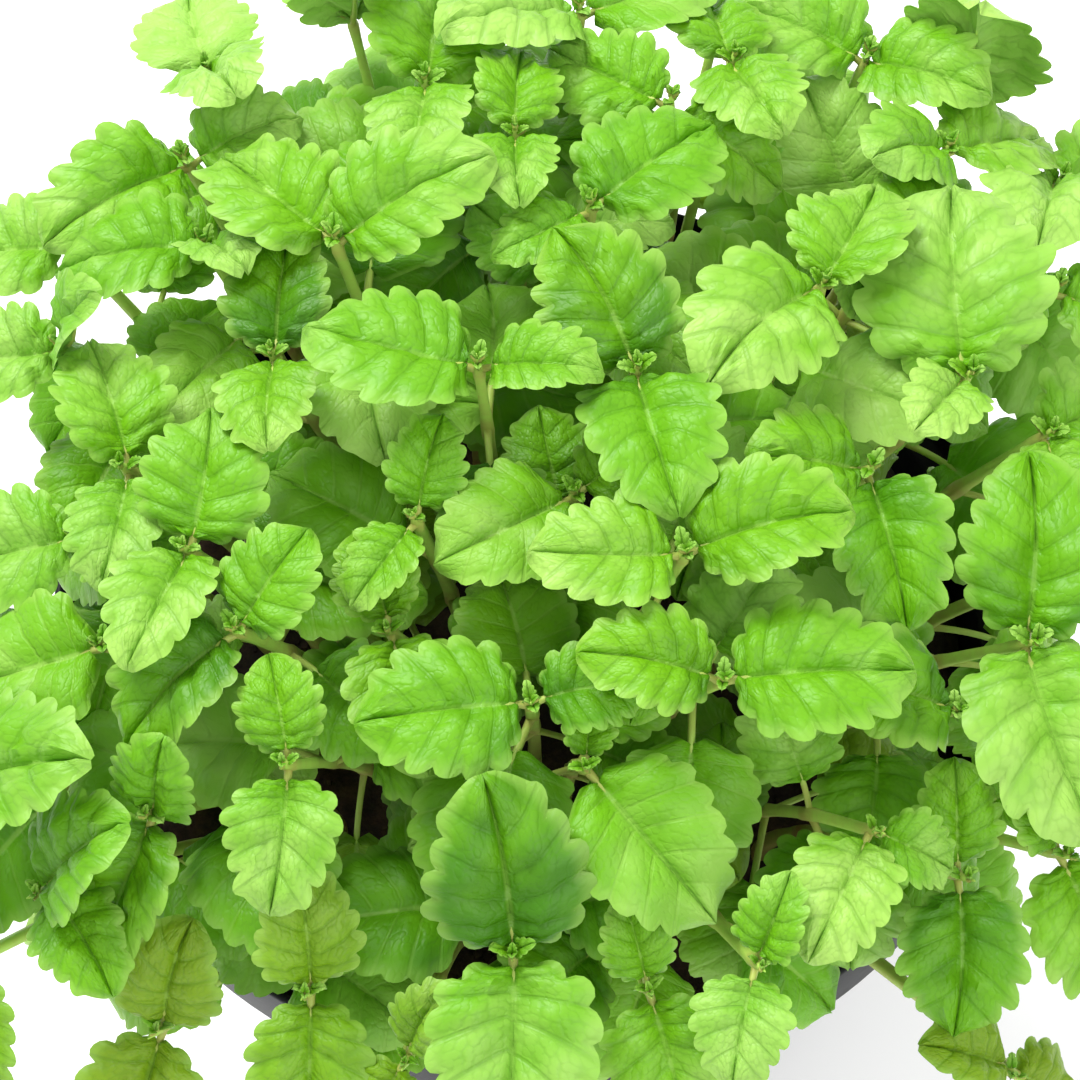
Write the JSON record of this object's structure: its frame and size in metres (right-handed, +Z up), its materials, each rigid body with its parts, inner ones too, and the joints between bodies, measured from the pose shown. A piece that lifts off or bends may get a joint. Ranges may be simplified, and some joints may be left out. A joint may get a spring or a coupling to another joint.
{
  "type": "potted lemon balm plant",
  "caption": "Young lemon balm plant, a dense dome of scalloped leaves on upright stems, in a round black nursery pot filled with soil.",
  "frame": {"origin": "middle of the flat underside of the pot", "axes": "+Z up through the middle of the pot; the picture looks along +Y from above the front, so -Y faces the camera"},
  "size_m": [0.1676, 0.1689, 0.1748],
  "materials": {
    "pot_plastic": "moulded black polypropylene, fine satin texture",
    "soil_peat": "moist peat compost, matt and crumbly",
    "leaf_green": "living leaf, soft satin with fine hairs"
  },
  "bodies": {
    "root": {"pot": "pot_plastic", "soil": "soil_peat", "leafy_stem_01": "leaf_green", "leafy_stem_02": "leaf_green", "leafy_stem_03": "leaf_green", "leafy_stem_04": "leaf_green", "leafy_stem_05": "leaf_green", "leafy_stem_06": "leaf_green", "leafy_stem_07": "leaf_green", "leafy_stem_08": "leaf_green", "leafy_stem_09": "leaf_green", "leafy_stem_10": "leaf_green", "leafy_stem_11": "leaf_green", "leafy_stem_12": "leaf_green", "leafy_stem_13": "leaf_green", "leafy_stem_14": "leaf_green", "leafy_stem_15": "leaf_green", "leafy_stem_16": "leaf_green", "leafy_stem_17": "leaf_green", "leafy_stem_18": "leaf_green", "leafy_stem_19": "leaf_green", "leafy_stem_20": "leaf_green", "leafy_stem_21": "leaf_green", "leafy_stem_22": "leaf_green", "leafy_stem_23": "leaf_green", "leafy_stem_24": "leaf_green", "leafy_stem_25": "leaf_green", "leafy_stem_26": "leaf_green", "leafy_stem_27": "leaf_green", "leafy_stem_28": "leaf_green", "leafy_stem_29": "leaf_green", "leafy_stem_30": "leaf_green", "leafy_stem_31": "leaf_green", "leafy_stem_32": "leaf_green", "leafy_stem_33": "leaf_green", "leafy_stem_34": "leaf_green", "leafy_stem_35": "leaf_green", "leafy_stem_36": "leaf_green", "leafy_stem_37": "leaf_green", "leafy_stem_38": "leaf_green", "leafy_stem_39": "leaf_green", "leafy_stem_40": "leaf_green", "leafy_stem_41": "leaf_green", "leafy_stem_42": "leaf_green", "leafy_stem_43": "leaf_green", "leafy_stem_44": "leaf_green", "leafy_stem_45": "leaf_green", "leafy_stem_46": "leaf_green", "leafy_stem_47": "leaf_green", "leafy_stem_48": "leaf_green", "leafy_stem_49": "leaf_green", "leafy_stem_50": "leaf_green", "leafy_stem_51": "leaf_green", "leafy_stem_52": "leaf_green", "leafy_stem_53": "leaf_green", "leafy_stem_54": "leaf_green", "leafy_stem_55": "leaf_green", "leafy_stem_56": "leaf_green", "leafy_stem_57": "leaf_green", "leafy_stem_58": "leaf_green"}
  },
  "joints": []
}
